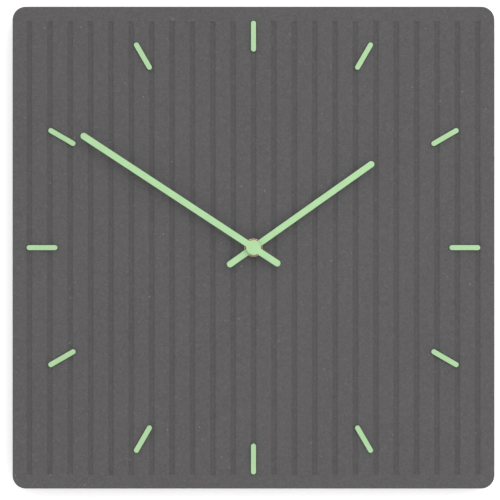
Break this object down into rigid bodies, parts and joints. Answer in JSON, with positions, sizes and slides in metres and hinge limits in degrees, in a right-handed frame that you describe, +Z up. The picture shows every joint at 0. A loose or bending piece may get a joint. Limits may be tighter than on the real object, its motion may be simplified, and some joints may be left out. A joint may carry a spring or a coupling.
{
  "type": "wall clock",
  "caption": "Square wall clock: a vertically grooved board with pill-shaped hour markers, two coupled hands and a battery quartz movement let into its back.",
  "frame": {"origin": "centre of the keyhole plate's round entry hole, on the back plane of the panel", "axes": "+Y out of the back towards the wall, along the entry hole's axis; +Z up; +X to the viewer's right, so the dial faces -Y and the hands turn about +Y, clockwise as seen from the front"},
  "size_m": [0.35, 0.0298, 0.35],
  "materials": {
    "panel_board": "matte",
    "marker_paint": "matte",
    "hand_paint": "matte",
    "brass": "satin",
    "black_rubber": "matte",
    "case_plastic": "matte",
    "cover_plastic": "matte",
    "natural_acetal": "satin",
    "knob_plastic": "matte",
    "steel": "satin",
    "magnet": "matte",
    "lamination": "matte",
    "bobbin_plastic": "matte",
    "copper_wire": "gloss",
    "board_green": "satin",
    "chip_resin": "gloss",
    "nickel": "polished",
    "battery_steel": "satin",
    "battery_print": "gloss",
    "zinc_plate": "satin",
    "screw_steel": "satin"
  },
  "bodies": {
    "clock_frame": {"dial_panel": "panel_board", "hour_marker_1": "marker_paint", "hour_marker_2": "marker_paint", "hour_marker_3": "marker_paint", "hour_marker_4": "marker_paint", "hour_marker_5": "marker_paint", "hour_marker_6": "marker_paint", "hour_marker_7": "marker_paint", "hour_marker_8": "marker_paint", "hour_marker_9": "marker_paint", "hour_marker_10": "marker_paint", "hour_marker_11": "marker_paint", "hour_marker_12": "marker_paint", "bush_washer": "brass", "bush_nut": "brass", "cushion_washer": "black_rubber", "movement_case": "case_plastic", "movement_back_cover": "cover_plastic", "threaded_bush": "brass", "train_bridge": "natural_acetal", "stator": "lamination", "stator_screws": "steel", "coil_core": "lamination", "coil_bobbin": "bobbin_plastic", "coil_winding": "copper_wire", "circuit_board": "board_green", "clock_chip": "chip_resin", "quartz_crystal": "nickel", "positive_contact": "nickel", "negative_contact": "nickel", "keyhole_plate": "zinc_plate", "keyhole_screws": "screw_steel", "wall_bumper_1": "black_rubber", "wall_bumper_2": "black_rubber", "wall_bumper_3": "black_rubber", "wall_bumper_4": "black_rubber"},
    "minute_hand": {"minute_hand": "hand_paint", "minute_hand_bush": "brass", "minute_arbor": "steel", "clutch_spring": "brass"},
    "hour_hand": {"hour_hand": "hand_paint", "hour_hand_collet": "brass", "hour_wheel": "natural_acetal"},
    "minute_wheel": {"minute_wheel": "natural_acetal", "setting_knob": "knob_plastic"},
    "centre_wheel": {"centre_wheel": "natural_acetal"},
    "third_wheel": {"third_wheel": "natural_acetal"},
    "fourth_wheel": {"fourth_wheel": "natural_acetal"},
    "fifth_wheel": {"fifth_wheel": "natural_acetal"},
    "rotor": {"rotor_pinion": "natural_acetal", "rotor_magnet": "magnet"},
    "battery": {"battery_can": "battery_steel", "battery_sleeve": "battery_print", "battery_terminal": "nickel"}
  },
  "joints": [
    {"name": "minute_hand_turn", "type": "hinge", "parent": "clock_frame", "child": "minute_hand", "pos_m": [0, -0.02, -0.118], "axis": [0, 1, 0], "continuous": true},
    {"name": "hour_hand_turn", "type": "hinge", "parent": "clock_frame", "child": "hour_hand", "pos_m": [0, -0.02, -0.118], "axis": [0, 1, 0], "continuous": true},
    {"name": "minute_wheel_turn", "type": "hinge", "parent": "clock_frame", "child": "minute_wheel", "pos_m": [-0.00935, -0.009, -0.1126], "axis": [0, 1, 0], "continuous": true},
    {"name": "centre_wheel_turn", "type": "hinge", "parent": "clock_frame", "child": "centre_wheel", "pos_m": [0, -0.005, -0.118], "axis": [0, 1, 0], "continuous": true},
    {"name": "third_wheel_turn", "type": "hinge", "parent": "clock_frame", "child": "third_wheel", "pos_m": [0.0028, -0.003, -0.10757], "axis": [0, 1, 0], "continuous": true},
    {"name": "fourth_wheel_turn", "type": "hinge", "parent": "clock_frame", "child": "fourth_wheel", "pos_m": [0.01284, -0.003, -0.10934], "axis": [0, 1, 0], "continuous": true},
    {"name": "fifth_wheel_turn", "type": "hinge", "parent": "clock_frame", "child": "fifth_wheel", "pos_m": [0.01824, -0.003, -0.1029], "axis": [0, 1, 0], "continuous": true},
    {"name": "rotor_turn", "type": "hinge", "parent": "clock_frame", "child": "rotor", "pos_m": [0.01464, -0.003, -0.09667], "axis": [0, 1, 0], "continuous": true},
    {"name": "battery_slide", "type": "slide", "parent": "clock_frame", "child": "battery", "axis": [0, 1, 0], "range_m": [0, 0.03]}
  ],
  "couplings": [
    {"joint": "minute_wheel_turn", "follows": "minute_hand_turn", "ratio": -0.33333},
    {"joint": "hour_hand_turn", "follows": "minute_hand_turn", "ratio": 0.083333},
    {"joint": "third_wheel_turn", "follows": "centre_wheel_turn", "ratio": -8},
    {"joint": "fourth_wheel_turn", "follows": "centre_wheel_turn", "ratio": 60},
    {"joint": "fifth_wheel_turn", "follows": "centre_wheel_turn", "ratio": -360},
    {"joint": "rotor_turn", "follows": "centre_wheel_turn", "ratio": 1800}
  ]
}
